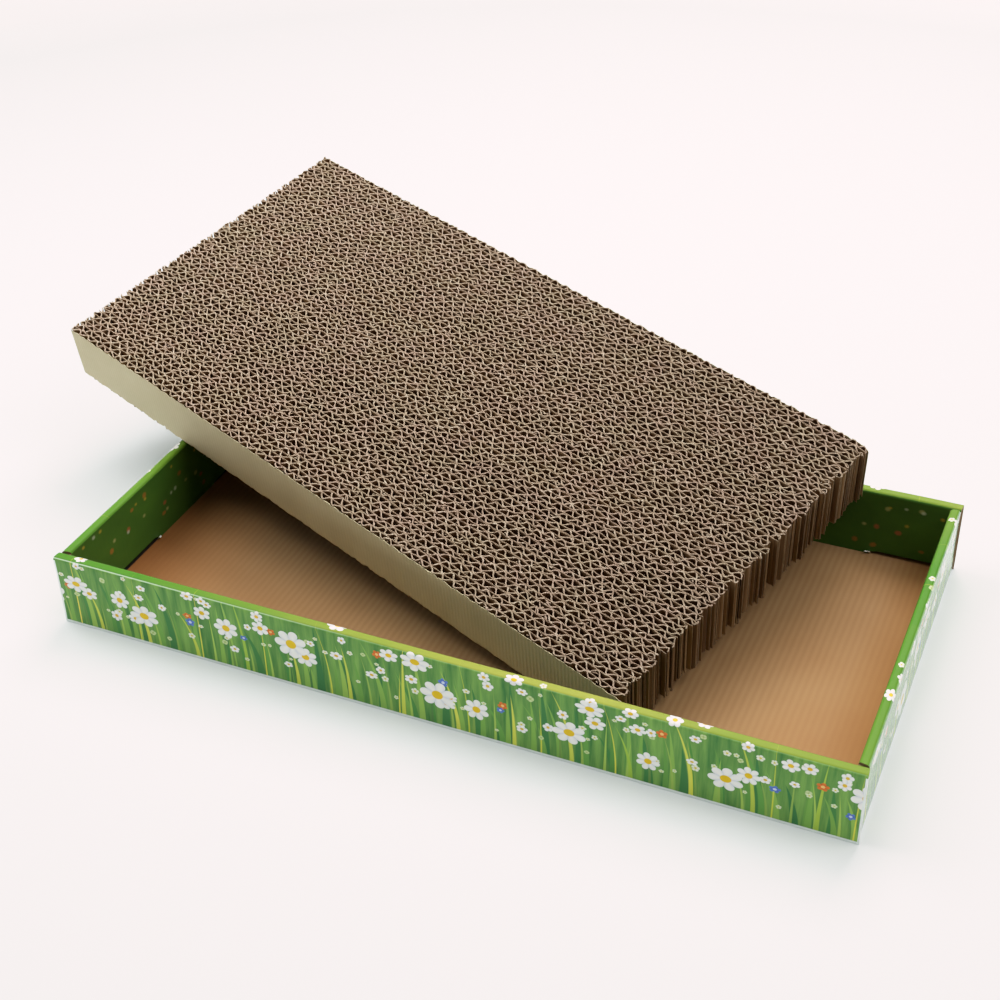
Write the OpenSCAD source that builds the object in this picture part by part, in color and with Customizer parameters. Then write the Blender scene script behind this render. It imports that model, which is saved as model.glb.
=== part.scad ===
// Cardboard cat scratcher: a glued pad of corrugated strips, lying skewed in its folded tray.
// The origin is the centre of the tray's underside, with X along the tray and Z up.

/* [Scratching pad] */
// Length of the pad's longest strips
pad_l = 405; // [250:1:430]
// Height of the pad, which is the width of its strips
pad_h = 35.5; // [25:0.5:60]
// Number of strips glued side by side
strip_count = 30; // [12:1:32]
// Thickness of the flat paper in a strip
liner_t = 0.3; // [0.2:0.05:0.5]
// Thickness of the fluted paper in a strip
medium_t = 0.25; // [0.15:0.05:0.4]
// Height of the wide flutes between their two liners
wide_flute_h = 3.25; // [2.5:0.05:4.5]
// Length of one wide flute along the strip
wide_pitch = 7.8; // [7:0.1:10]
// Height of the narrow flutes between their two liners
narrow_flute_h = 2.65; // [2:0.05:3.5]
// Length of one narrow flute along the strip
narrow_pitch = 7.1; // [6.5:0.1:9]
// Glue film between a fluted sheet and its liners
glue_film = 0.02; // [0.01:0.01:0.05]
// How far the shortest strips fall back from the pad's end
end_rag = 2.6; // [0:0.1:6]

/* [Tray] */
// Thickness of the tray's corrugated board
board_t = 1.6; // [1.2:0.1:3]
// Inside radius of every fold
fold_inner_r = 0.2; // [0.1:0.1:1]
// Room inside a rolled wall beyond its three boards
wall_slack = 1.2; // [0.6:0.1:4]
// Gap between the pad and each end wall when the pad is seated
pad_end_gap = 1.5; // [0.5:0.1:6]
// Gap between the pad and each long wall when the pad is seated
pad_side_gap = 0.5; // [0.5:0.1:6]
// How far the seated pad lies below the rim
pad_recess = 4.9; // [0:0.1:20]
// How far each end wall stands in from the ends of the long walls
end_inset = 0.8; // [0.4:0.1:1.2]
// Gap where an end rim meets a long rim
rim_gap = 0.5; // [0.1:0.1:2]

/* [Lock tabs and corner flaps] */
// Length of a lock tab on a long wall
long_tab_l = 50; // [20:1:65]
// Length of the lock tab on an end wall
end_tab_l = 58; // [20:1:60]
// Slope at each end of a lock tab, which leads it into its slot
tab_lead = 1; // [0.5:0.1:3]
// Gap between an inner wall and the floor, beside its tabs
foot_gap = 0.4; // [0.2:0.1:1]
// Play of a tab in its slot, and of each hidden edge beside its neighbour
play = 0.2; // [0.1:0.05:0.5]
// Length of the corner flaps
flap_l = 70; // [20:1:110]

/* [Place of the pad in the tray] */
// Gap between the pad's low corner and the front inner wall
tip_front_gap = 13.4; // [10:0.1:40]
// Clearance at each place where the pad rests
rest_gap = 0.3; // [0.1:0.05:0.6]

/* [Hidden] */
// Where the pad's low corner stands, as a share of the tray's length from its left end
tip_share = 0.7195;
// Where the pad's front edge crosses the left rim, as a share of the tray's width from its front
rim_share = 0.539;
// Share of a flute by which each strip is shifted from the last
shift_share = 0.37;
// Angles that spread the strips' uneven ends without a pattern
right_rag_turn = 137;
left_rag_turn = 211;
// Least part of a half flute that is left beside a sheet's cut end
cut_margin_share = 0.15;
// Centres of the lock tabs along a long wall, as shares of the tray's length from its middle
long_tab_shares = [-0.333, 0, 0.333];
// Overrun of a cut past the face that it opens
over = 1;
$fn = 48;

fold_r = fold_inner_r + board_t;
ledge_w = 3 * board_t + wall_slack;
end_ledge_w = ledge_w - end_inset;
strip_w = 3 * liner_t + wide_flute_h + narrow_flute_h;
pad_w = strip_count * strip_w;
tray_l = pad_l + 2 * pad_end_gap + 2 * ledge_w;
tray_w = pad_w + 2 * pad_side_gap + 2 * ledge_w;
tray_h = board_t + pad_h + pad_recess;
panel_top = tray_h - fold_r;
inner_wall_foot = board_t + foot_gap;
long_inner_l = tray_l - 2 * (end_inset + board_t + play);
end_outer_l = tray_w - 2 * (board_t + play + fold_r);
end_rim_l = tray_w - 2 * (ledge_w + rim_gap);

long_tab_places = [for (share = long_tab_shares) share * tray_l];

// The pad rests on three places: its low front corner on the floor, its front lower edge on the left
// rim, and its back lower edge on the back rim. Its three axes follow from them.
low_corner = [(tip_share - 0.5) * tray_l, ledge_w + tip_front_gap - tray_w / 2, board_t + rest_gap];
left_rest = [ledge_w - tray_l / 2, (rim_share - 0.5) * tray_w, tray_h + rest_gap];
along = unit(low_corner - left_rest);
// From the low corner to the back rim's inner edge, first straight across and then as far along it as
// the pad's back edge lies, or at most as far as its right end
across = [0, tray_w / 2 - ledge_w - low_corner.y, tray_h + rest_gap - low_corner.z];
across_along = across * along;
end_run = -across_along / along.x;
quad_a = 1 - along.x * along.x;
quad_b = -2 * along.x * across_along;
quad_c = across * across - across_along * across_along - pad_w * pad_w;
edge_run = (sqrt(max(0, quad_b * quad_b - 4 * quad_a * quad_c)) - quad_b) / (2 * quad_a);
back_rest = low_corner + across + [min(end_run, edge_run), 0, 0];
upright = unit(cross(along, back_rest - low_corner));
sideways = cross(upright, along);
pad_turn = [atan2(sideways.z, upright.z), -asin(along.z), atan2(along.y, along.x)];

function unit(v) = v / norm(v);
function strip_name(i) = str("pad_strip_", i < 9 ? "0" : "", i + 1);

// Places on the four sides. A wall is drawn with its length along X, its outer face at Y zero and its
// inside towards +Y.
module at_front() {
    translate([0, -tray_w / 2, 0]) children();
}
module at_back() {
    mirror([0, 1, 0]) at_front() children();
}
module at_left() {
    translate([end_inset - tray_l / 2, 0, 0]) rotate([0, 0, -90]) children();
}
module at_right() {
    mirror([1, 0, 0]) at_left() children();
}

// A profile of Y and Z carried along X, centred
module along_wall(length) {
    translate([-length / 2, 0, 0]) rotate([90, 0, 90]) linear_extrude(length) children();
}

// A quarter of a fold's round, centred on the origin, in the corner that the two signs name
module quarter_fold(side_x, side_y) {
    intersection() {
        difference() {
            circle(fold_r);
            circle(fold_inner_r);
        }
        translate([side_x < 0 ? -fold_r : 0, side_y < 0 ? -fold_r : 0]) square(fold_r);
    }
}

// Floor between the bottom folds, with a slot for each lock tab
module floor_panel() {
    length = tray_l - 2 * (end_inset + fold_r);
    width = tray_w - 2 * fold_r;
    slot_w = board_t + 2 * play;
    color("#C0935F") difference() {
        translate([-length / 2, -width / 2, 0]) cube([length, width, board_t]);
        for (side = [-1, 1]) {
            for (place = long_tab_places)
                translate([place, side * (tray_w / 2 - ledge_w + board_t / 2), board_t / 2])
                    cube([long_tab_l + 2 * play, slot_w, board_t + 2 * over], center = true);
            translate([side * (tray_l / 2 - ledge_w + board_t / 2), 0, board_t / 2])
                cube([slot_w, end_tab_l + 2 * play, board_t + 2 * over], center = true);
        }
    }
}

// Outer panel of a wall with the fold that turns in under the floor
module outer_wall(length, fold_length) {
    color("#5E9C3E") {
        along_wall(length) translate([0, fold_r]) square([board_t, panel_top - fold_r]);
        along_wall(fold_length) translate([fold_r, fold_r]) quarter_fold(-1, -1);
    }
}

// Ledge where a wall rolls over: two folds with a flat between them
module rim(length, width) {
    color("#8DBB45") along_wall(length) {
        translate([fold_r, panel_top]) quarter_fold(-1, 1);
        translate([fold_r, tray_h - board_t]) square([width - 2 * fold_r, board_t]);
        translate([width - fold_r, panel_top]) quarter_fold(1, 1);
    }
}

// Inner panel of a wall, with lock tabs at its foot
module inner_wall(length, width, places, tab_l) {
    outline = concat(
        [[-length / 2, panel_top], [-length / 2, inner_wall_foot]],
        [for (place = places) each [
            [place - tab_l / 2, inner_wall_foot],
            [place - tab_l / 2, board_t],
            [place - tab_l / 2 + tab_lead, play],
            [place + tab_l / 2 - tab_lead, play],
            [place + tab_l / 2, board_t],
            [place + tab_l / 2, inner_wall_foot]
        ]],
        [[length / 2, inner_wall_foot], [length / 2, panel_top]]
    );
    color("#4F8A34") translate([0, width, 0]) rotate([90, 0, 0]) linear_extrude(board_t) polygon(outline);
}

// Flap of the left end wall, turned round the front corner and lying inside the front wall
module corner_flap() {
    foot = fold_r + play;
    height = panel_top - play - foot;
    color("#B78B5A") translate([end_inset - tray_l / 2, board_t + play - tray_w / 2, foot])
        linear_extrude(height) {
            translate([fold_r, fold_r]) quarter_fold(-1, -1);
            translate([fold_r, 0]) square([flap_l - fold_r, board_t]);
        }
}

// Zigzag of fluted paper as an outline: its crests along one face, then back along the other
function zigzag(u) = abs(((u % 2) + 2) % 2 - 1);
function flute_turns(length, half, start) =
    let (
        stop = start + length / half,
        first = ceil(start + cut_margin_share),
        last = floor(stop - cut_margin_share)
    )
    concat([start], [for (k = [first : last]) k], [stop]);
function fluted_sheet(from, to, y, flute_h, pitch, start) =
    let (
        half = pitch / 2,
        rise_full = flute_h - 2 * glue_film,
        sheet_h = medium_t * sqrt(1 + pow(rise_full / half, 2)),
        rise = rise_full - sheet_h,
        turns = flute_turns(to - from, half, start),
        low = [for (u = turns) [from + (u - start) * half, y + glue_film + rise * zigzag(u)]],
        last = len(low) - 1
    )
    concat(low, [for (k = [last : -1 : 0]) low[k] + [0, sheet_h]]);
function liner(from, to, y) = [[from, y], [to, y], [to, y + liner_t], [from, y + liner_t]];
function fall_back(i, turn) = end_rag * (1 - cos(i * turn)) / 2;
function path_after(sheets, k) =
    let (before = k == 0 ? 0 : len([for (j = [0 : k - 1]) each sheets[j]]))
    [for (p = [0 : len(sheets[k]) - 1]) before + p];

// One strip of double-wall board: three liners and two fluted sheets, cut as high as the pad
module strip(i) {
    from = fall_back(i, left_rag_turn) - pad_l;
    to = -fall_back(i, right_rag_turn);
    shift = i * shift_share;
    start = 2 * (shift - floor(shift));
    middle = liner_t + narrow_flute_h;
    back = strip_w - liner_t;
    sheets = [
        liner(from, to, 0),
        fluted_sheet(from, to, liner_t, narrow_flute_h, narrow_pitch, start),
        liner(from, to, middle),
        fluted_sheet(from, to, middle + liner_t, wide_flute_h, wide_pitch, 2 - start),
        liner(from, to, back)
    ];
    color("#B49A7C") translate(low_corner) rotate(pad_turn) translate([0, i * strip_w, 0])
        linear_extrude(pad_h) polygon(
            [for (sheet = sheets) each sheet],
            [for (k = [0 : len(sheets) - 1]) path_after(sheets, k)]
        );
}

floor_panel();
at_front() outer_wall(tray_l, tray_l);  // front_outer_wall
at_back() outer_wall(tray_l, tray_l);  // back_outer_wall
at_left() outer_wall(end_outer_l, tray_w - 2 * fold_r);  // left_outer_wall
at_right() outer_wall(end_outer_l, tray_w - 2 * fold_r);  // right_outer_wall
at_front() rim(tray_l, ledge_w);  // front_rim
at_back() rim(tray_l, ledge_w);  // back_rim
at_left() rim(end_rim_l, end_ledge_w);  // left_rim
at_right() rim(end_rim_l, end_ledge_w);  // right_rim
at_front() inner_wall(long_inner_l, ledge_w, long_tab_places, long_tab_l);  // front_inner_wall
at_back() inner_wall(long_inner_l, ledge_w, long_tab_places, long_tab_l);  // back_inner_wall
at_left() inner_wall(end_rim_l, end_ledge_w, [0], end_tab_l);  // left_inner_wall
at_right() inner_wall(end_rim_l, end_ledge_w, [0], end_tab_l);  // right_inner_wall
corner_flap();  // front_left_corner_flap
mirror([1, 0, 0]) corner_flap();  // front_right_corner_flap
mirror([0, 1, 0]) corner_flap();  // back_left_corner_flap
mirror([1, 0, 0]) mirror([0, 1, 0]) corner_flap();  // back_right_corner_flap
for (i = [0 : strip_count - 1])
    strip(i);
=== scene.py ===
"""Looks of the cardboard cat scratcher: a pad of cut corrugated strips, lying skewed in its printed tray."""

import math

import bpy
import numpy as np
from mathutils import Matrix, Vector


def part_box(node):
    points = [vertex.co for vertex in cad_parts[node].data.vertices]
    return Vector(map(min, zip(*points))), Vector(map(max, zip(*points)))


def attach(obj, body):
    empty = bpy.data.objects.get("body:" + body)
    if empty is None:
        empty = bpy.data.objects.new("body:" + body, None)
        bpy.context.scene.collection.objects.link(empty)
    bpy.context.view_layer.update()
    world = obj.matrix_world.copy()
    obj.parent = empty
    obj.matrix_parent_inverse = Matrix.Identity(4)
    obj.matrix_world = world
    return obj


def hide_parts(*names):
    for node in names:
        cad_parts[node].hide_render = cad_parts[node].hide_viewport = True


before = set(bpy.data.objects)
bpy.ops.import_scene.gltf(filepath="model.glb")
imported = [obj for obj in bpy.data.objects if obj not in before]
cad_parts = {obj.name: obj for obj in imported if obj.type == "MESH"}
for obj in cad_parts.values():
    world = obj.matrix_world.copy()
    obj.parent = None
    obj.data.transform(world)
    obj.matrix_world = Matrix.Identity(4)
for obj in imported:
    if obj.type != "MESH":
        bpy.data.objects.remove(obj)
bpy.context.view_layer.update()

# Lengths in this script are millimetres until a piece's points go into its mesh
MM = 0.001


def corners(node):
    """A node's lowest and highest corner, in millimetres."""
    low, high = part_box(node)
    return np.array(low) / MM, np.array(high) / MM


# Sizes of the tray, read from its nodes
floor_high = corners("floor_panel")[1]
front_low, front_high = corners("front_outer_wall")
front_rim_high = corners("front_rim")[1]
front_inner_high = corners("front_inner_wall")[1]
left_low, left_high = corners("left_outer_wall")
left_rim_low, left_rim_high = corners("left_rim")
left_inner_high = corners("left_inner_wall")[1]
HALF_L = front_high[0]
HALF_W = -front_low[1]
TRAY_H = front_rim_high[2]
BOARD = floor_high[2]
PANEL_TOP = front_high[2]
FOLD = TRAY_H - PANEL_TOP
LEDGE = front_rim_high[1] + HALF_W
END_INSET = left_low[0] + HALF_L
END_LEDGE = left_rim_high[0] - left_rim_low[0]

# Where the print changes, measured up the unrolled sheet: at the middle of each rounded crease
CREASE = FOLD * math.pi / 2
LEDGE_FROM = PANEL_TOP + CREASE / 2
LEDGE_TO = PANEL_TOP + CREASE * 1.5 + LEDGE - 2 * FOLD
ROLLED_FROM = LEDGE_TO

# Lock tabs and their slots, as the tray is cut
LONG_TAB = 50
LONG_TAB_SHARES = (-0.333, 0, 0.333)
END_TAB = 58
TAB_FOOT = 0.2
FOOT_GAP = 1.0
FOOT_ROUND = 0.5
SLOT_PLAY = 0.2

# Corrugated board: papers and flutes
MICRO_PITCH = 3.55
LINER = 0.3
MEDIUM = 0.25
NARROW_FLUTE = 2.65
NARROW_PITCH = 7.1
WIDE_PITCH = 7.8

# Blender's wave texture swings this many times in each unit of its coordinate
WAVE_TURNS = 3.18

# The camera as the photograph's perspective gives it
CAMERA_PLACE = (280.4, -637.0, 546.3)
CAMERA_AZIMUTH = 24.32
CAMERA_ELEVATION = 34.88
CAMERA_ROLL = -1.58
CAMERA_LENS = 59.86
CAMERA_SENSOR = 36
CAMERA_NEAR = 10
CAMERA_FAR = 20000


def linear(hex_colour):
    """An sRGB hex colour as linear red, green, blue and alpha."""
    shares = [int(hex_colour[i:i + 2], 16) / 255 for i in (1, 3, 5)]
    return [s / 12.92 if s <= 0.04045 else ((s + 0.055) / 1.055) ** 2.4 for s in shares] + [1.0]


def add(tree, kind, inputs=None, **settings):
    """Adds a node of a kind with its settings. inputs gives each socket a value, an sRGB hex colour, a
    socket, or a node, which stands for its first output in use."""
    node = tree.nodes.new(kind)
    for name, value in settings.items():
        setattr(node, name, value)
    for key, value in (inputs or {}).items():
        if isinstance(value, bpy.types.Node):
            value = next(output for output in value.outputs if output.enabled)
        if isinstance(value, bpy.types.NodeSocket):
            tree.links.new(value, node.inputs[key])
        else:
            node.inputs[key].default_value = linear(value) if isinstance(value, str) else value
    return node


def ripple(seed, *ways):
    """Smooth noise within about -1 to 1: five sines of the coordinates, each with its own slant and phase.
    The coordinates come in already divided by the wavelength."""
    draw = np.random.default_rng(seed)
    total = 0
    for _ in range(5):
        slant = draw.normal(size=len(ways))
        slant *= 2 * math.pi * draw.uniform(0.6, 1.5) / np.linalg.norm(slant)
        total = total + np.sin(sum(w * s for w, s in zip(ways, slant)) + draw.uniform(0, 2 * math.pi))
    return total / 3


def slab(face, back):
    """A closed sheet between two grids of points. Returns its points, its quads, and for each quad 0 on the
    face, 1 on the back and 2 on the cut edge that runs round both."""
    rows, columns = face.shape[:2]
    index = np.arange(rows * columns).reshape(rows, columns)
    quads = np.stack([index[:-1, :-1], index[:-1, 1:], index[1:, 1:], index[1:, :-1]], -1).reshape(-1, 4)
    ring = np.concatenate([index[0, :-1], index[:-1, -1], index[-1, :0:-1], index[:0:-1, 0]])
    following = np.roll(ring, -1)
    edge = np.stack([following, ring, ring + index.size, following + index.size], -1)
    points = np.concatenate([face.reshape(-1, 3), back.reshape(-1, 3)])
    sides = np.repeat([0, 1, 2], [len(quads), len(quads), len(edge)])
    return points, np.concatenate([quads, quads[:, ::-1] + index.size, edge]), sides


def joined(parts):
    """Several (points, quads, sides) as one."""
    points, quads, sides = zip(*parts)
    starts = np.cumsum([0] + [len(part) for part in points[:-1]])
    quads = [part + start for part, start in zip(quads, starts)]
    return np.concatenate(points), np.concatenate(quads), np.concatenate(sides)


def outward(points, quads):
    """The quads, turned where needed so that they face out of the solid that they enclose."""
    a, b, c, d = (points[quads[:, i]] for i in range(4))
    volume = np.einsum("ij,ij->", a, np.cross(b, c)) + np.einsum("ij,ij->", a, np.cross(c, d))
    return quads if volume > 0 else quads[:, ::-1]


def placed(name, data):
    """A new object of the scene with this data."""
    holder = bpy.data.objects.new(name, data)
    bpy.context.scene.collection.objects.link(holder)
    return holder


def make_piece(name, body, slot, shape, materials, uv=None, **marks):
    """Puts a shape in millimetres into a mesh that rides on a body. uv is given per point, marks are
    numbers per point, and each quad takes the material of its side. Shading breaks where two sides meet."""
    points, quads, sides = shape
    order = outward(points, quads)
    mesh = bpy.data.meshes.new(name)
    mesh.vertices.add(len(points))
    mesh.vertices.foreach_set("co", (points * MM).astype(np.float32).ravel())
    mesh.loops.add(order.size)
    mesh.loops.foreach_set("vertex_index", order.astype(np.int32).ravel())
    mesh.polygons.add(len(order))
    mesh.polygons.foreach_set("loop_start", np.arange(0, order.size, 4, dtype=np.int32))
    mesh.update(calc_edges=True)
    for material in materials:
        mesh.materials.append(material)
    mesh.polygons.foreach_set("material_index", np.minimum(sides, len(materials) - 1).astype(np.int32))
    mesh.polygons.foreach_set("use_smooth", np.ones(len(order), bool))
    edges = np.empty(order.size, np.int32)
    mesh.loops.foreach_get("edge_index", edges)
    least, most = np.full(len(mesh.edges), sides.max()), np.zeros(len(mesh.edges), int)
    np.minimum.at(least, edges, np.repeat(sides, 4))
    np.maximum.at(most, edges, np.repeat(sides, 4))
    mesh.attributes.new("sharp_edge", "BOOLEAN", "EDGE").data.foreach_set("value", least != most)
    if uv is not None:
        layer = mesh.uv_layers.new(name="sheet")
        layer.data.foreach_set("uv", uv[order.ravel()].astype(np.float32).ravel())
    for mark, values in marks.items():
        attribute = mesh.attributes.new(mark, "FLOAT", "POINT")
        attribute.data.foreach_set("value", np.asarray(values, np.float32))
    mesh.validate()
    piece = placed(name, mesh)
    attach(piece, body)
    return piece


def new_material(name):
    """An empty node material and its tree."""
    material = bpy.data.materials.new(name)
    material.use_nodes = True
    material.node_tree.nodes.clear()
    return material, material.node_tree


def with_shader(material, inputs):
    """The material, with a Principled shader of these inputs on its output."""
    shader = add(material.node_tree, "ShaderNodeBsdfPrincipled", inputs)
    add(material.node_tree, "ShaderNodeOutputMaterial", {"Surface": shader})
    return material


def share_above(tree, value, threshold, soft):
    """Nought below the threshold and one past it, over a soft stretch. A negative stretch turns it
    round: one below and nought past it."""
    past = add(tree, "ShaderNodeMath", {0: value, 1: threshold}, operation="SUBTRACT")
    return add(tree, "ShaderNodeMath", {0: past, 1: soft}, operation="DIVIDE", use_clamp=True)


def laid_over(tree, colour, layers):
    """A colour with layers laid over it. Each has a mask, the most that it covers, and a tint, and gives
    (1 - mask most) of the colour under it and mask most of its tint."""
    for mask, most, tint in layers:
        share = add(tree, "ShaderNodeMath", {0: mask, 1: most}, operation="MULTIPLY")
        colour = add(tree, "ShaderNodeMix", {0: share, 6: colour, 7: tint}, data_type="RGBA")
    return colour


# Materials of the pad

# Painted light along the pad: where its raised end lies, at which its papers are painted palest, and the
# length over which painted shade takes them from pale to dark
RAISED_END = -290
FADE_RUN = 410


def fluted_kraft():
    """Recycled kraft paper, sawn across: dull brown walls with painted shade that darkens them down in the
    flutes, and a pale, fluffy cut edge with painted glints, which draws the pattern of the pad's top. Painted
    light makes the papers palest at the pad's raised end, and painted shade makes them darker towards its
    lowered end."""
    material, tree = new_material("recycled_kraft_cut_edges")
    place = add(tree, "ShaderNodeTexCoord").outputs["Object"]
    cut, tone, depth = (
        add(tree, "ShaderNodeAttribute", attribute_name=mark).outputs["Fac"]
        for mark in ("cut", "tone", "depth")
    )
    fibres = add(tree, "ShaderNodeTexNoise", {"Vector": place, "Scale": 0.9 / MM, "Detail": 3})
    glints_and_flecks = add(tree, "ShaderNodeTexNoise", {"Vector": place, "Scale": 0.42 / MM, "Detail": 2})
    clouds = add(tree, "ShaderNodeTexNoise", {"Vector": place, "Scale": 0.07 / MM, "Detail": 4})
    # The depth mark darkens the walls down in the cells: painted shade
    walls = laid_over(tree, "#5D452C", [(tone, 1, "#997A55"), (depth, 1, "#5E391E")])
    patches = laid_over(tree, "#B39B8C", [(share_above(tree, clouds, 0.35, 0.3), 1, "#AB9E85")])
    edge = laid_over(tree, "#806654", [
        (fibres, 1, patches),
        # Painted glints: pale spots on the cut edge, and darker flecks of random tone
        (share_above(tree, glints_and_flecks, 0.57, 0.1), 0.34, "#E4D4BC"),
        (share_above(tree, glints_and_flecks, 0.42, -0.1), 0.4, "#645040"),
    ])
    colour = laid_over(tree, walls, [(cut, 1, edge)])
    # Painted light and shade: the papers are brighter at the raised end and darker towards the lowered end
    x = add(tree, "ShaderNodeSeparateXYZ", {0: place})
    lowered = share_above(tree, x, RAISED_END * MM, FADE_RUN * MM)
    painted_light_gain = add(tree, "ShaderNodeMath", {0: lowered, 1: -0.27, 2: 1.15}, operation="MULTIPLY_ADD")
    colour = add(tree, "ShaderNodeVectorMath", {0: colour, "Scale": painted_light_gain}, operation="SCALE")
    bump = add(tree, "ShaderNodeBump", {"Height": fibres, "Strength": 0.4, "Distance": 0.2 * MM})
    return with_shader(material, {
        "Base Color": colour, "Normal": bump, "Roughness": 0.95, "Specular IOR Level": 0.2
    })


def kraft_liner():
    """Recycled kraft liner, calendered: the pad's smooth front and back. Grey-brown, with faint upright
    lines, about three to each flute that is glued behind it, and short darker fibres."""
    material, tree = new_material("recycled_kraft_liner")
    sheet = add(tree, "ShaderNodeUVMap", uv_map="sheet")
    cut = add(tree, "ShaderNodeAttribute", attribute_name="cut").outputs["Fac"]
    lines = add(tree, "ShaderNodeTexWave", {
        "Vector": sheet, "Scale": 1 / NARROW_PITCH, "Distortion": 0.6, "Detail": 1
    }, wave_type="BANDS", bands_direction="X").outputs["Fac"]
    squeezed = add(tree, "ShaderNodeMapping", {"Vector": sheet, "Scale": (1, 0.25, 1)})
    fibres = add(tree, "ShaderNodeTexNoise", {
        "Vector": squeezed, "Scale": 1.6, "Detail": 5, "Roughness": 0.7
    })
    clouds = add(tree, "ShaderNodeTexNoise", {"Vector": sheet, "Scale": 0.03, "Detail": 3})
    colour = laid_over(tree, "#BEAF8B", [
        (clouds, 1, "#D7C8A5"),
        (fibres, 0.25, "#837352"),
        (lines, 0.12, "#958866"),
        (cut, 1, "#D8BF9E"),
    ])
    bump = add(tree, "ShaderNodeBump", {"Height": lines, "Strength": 0.25, "Distance": 0.3 * MM})
    return with_shader(material, {
        "Base Color": colour, "Normal": bump, "Roughness": 0.8, "Specular IOR Level": 0.3
    })


# The pad


def pad_axes():
    """The pad's low corner and its axes along, sideways and upright. Sideways is the normal of the first
    strip's largest face, and along runs from that face's leftmost corner to its lowest."""
    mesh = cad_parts["pad_strip_01"].data
    points = node_points("pad_strip_01")
    largest = max(mesh.polygons, key=lambda face: face.area)
    sideways = np.array(largest.normal)
    sideways *= np.sign(sideways[1])
    low = points[points[:, 2].argmin()]
    along = low - points[points[:, 0].argmin()]
    along /= np.linalg.norm(along)
    return low, along, sideways, np.cross(along, sideways)


def node_points(node):
    """A node's points in millimetres."""
    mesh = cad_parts[node].data
    points = np.empty(len(mesh.vertices) * 3, np.float32)
    mesh.vertices.foreach_get("co", points)
    return points.reshape(-1, 3).astype(float) / MM


# Saw burr at the top and bottom of each paper: how deep it goes and how deep its tip, how thick the paper is
# there in the flutes, the middle liner and the two liners outside it, and how far it strays sideways
BURR_DEPTH = 0.8
BURR_TIP = 0.15
BURR_PAPER = 0.68
BURR_MIDDLE = 0.4
BURR_OUTER = 0.22
BURR_STRAY = 0.22

# Painted shade in the cells: it is darkest this far under the top, and lightens over this length towards the
# strips' ends, where the cells open
CELL_DARK = 7
END_LIGHT = 8

# Points to each flute, and the distance between a liner's points
FLUTE_STEPS = 8
LINER_STEP = 1.6

# A paper's end shows pale over a length and has a point of its own inside it, it curls over a length, and
# this share of the flutes' ends are pressed over
END_PALE = 0.3
END_POINT = 0.25
END_CURL = 5.0
ENDS_PRESSED = 0.7

# How far the pad's back right corner is pressed in
CORNER_PRESSED = 3.0

# Strips, the interfaces between rows of flutes, and the fewest and most shreds on a strip
STRIPS = 30
INTERFACES = 2 * STRIPS
SHREDS = (36, 64)

# A strip's five papers: a liner's own line, or the two liners that a fluted paper lies between
PAPERS = ((0, None), (1, None), (2, None), (0, 1), (1, 2))


def liner_shift(interface, x):
    """How far the liners at an interface between rows of flutes stray sideways: they are drawn towards the
    crests that they are glued to. The outermost two lie flat."""
    if interface in (0, INTERFACES):
        return np.zeros_like(x)
    return 0.13 * ripple(2000 + interface, x / 7.4) + 0.2 * ripple(3000 + interface, x / 31)


def levels_of(height):
    """Heights of a paper's rows of points, and there: the share of burr, how cut it is and how deep, where
    depth is painted shade that darkens the cells.
    """
    z = np.array([0, BURR_DEPTH, height - CELL_DARK, height - BURR_DEPTH, height - BURR_TIP, height])
    burr = np.array([1, 0, 0, 0, 1, 0.8])
    cut = np.array([1, 0, 0, 0, 0.8, 1])
    depth = np.array([0, 0.5, 1, 0.2, 0, 0])
    return z, burr, cut, depth


def standing_paper(x, y, height, thickness, burr_paper, seed, top_drop=0.0, foot_rise=0.0):
    """A paper on edge: the line (x, y) carried up through the levels and thickened along its normal. Near
    the top its points stray by a smooth noise, because the saw frays them. Also gives its marks."""
    z, burr, cut, depth = levels_of(height)
    slope = np.stack([np.gradient(x), np.gradient(y)], -1)
    slope /= np.linalg.norm(slope, axis=1, keepdims=True)
    normal = np.stack([-slope[:, 1], slope[:, 0]], -1)
    run = np.concatenate([[0], np.cumsum(np.hypot(np.diff(x), np.diff(y)))])
    fluff = 1 + 0.5 * ripple(seed, run / 3.1)
    half = (thickness + (burr_paper - thickness) * burr[None, :] * fluff[:, None]) / 2
    stray_x = BURR_STRAY * ripple(seed + 1, run / 2.7)[:, None] * cut[None, :]
    stray_y = BURR_STRAY * ripple(seed + 2, run / 2.3)[:, None] * cut[None, :]
    fray = 0.5 * np.clip(ripple(seed + 3, run / 6.3), 0, 1) + top_drop
    worn = np.broadcast_to(foot_rise + 0.3 * np.clip(ripple(seed + 4, run / 5.1), 0, 1), run.shape)
    up = z[None, :] - fray[:, None] * (z > height / 2) + worn[:, None] * (z < height / 2)
    face, back = (
        np.stack([x[:, None] + stray_x + way * normal[:, :1] * half,
                  y[:, None] + stray_y + way * normal[:, 1:] * half, up], -1)
        for way in (1, -1)
    )
    from_end = np.minimum(run, run[-1] - run)
    # The painted shade in the cells fades out towards the paper's ends
    inside = np.clip(from_end / END_LIGHT, 0, 1)
    tip = np.clip(1 - from_end / END_PALE, 0, 1)
    cuts = np.maximum(cut[None, :], np.random.default_rng(seed).uniform(0.05, 0.7) * tip[:, None])
    marks = [np.tile(values.ravel(), 2) for values in (cuts, depth[None, :] * inside[:, None])]
    return slab(face, back), marks


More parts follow.
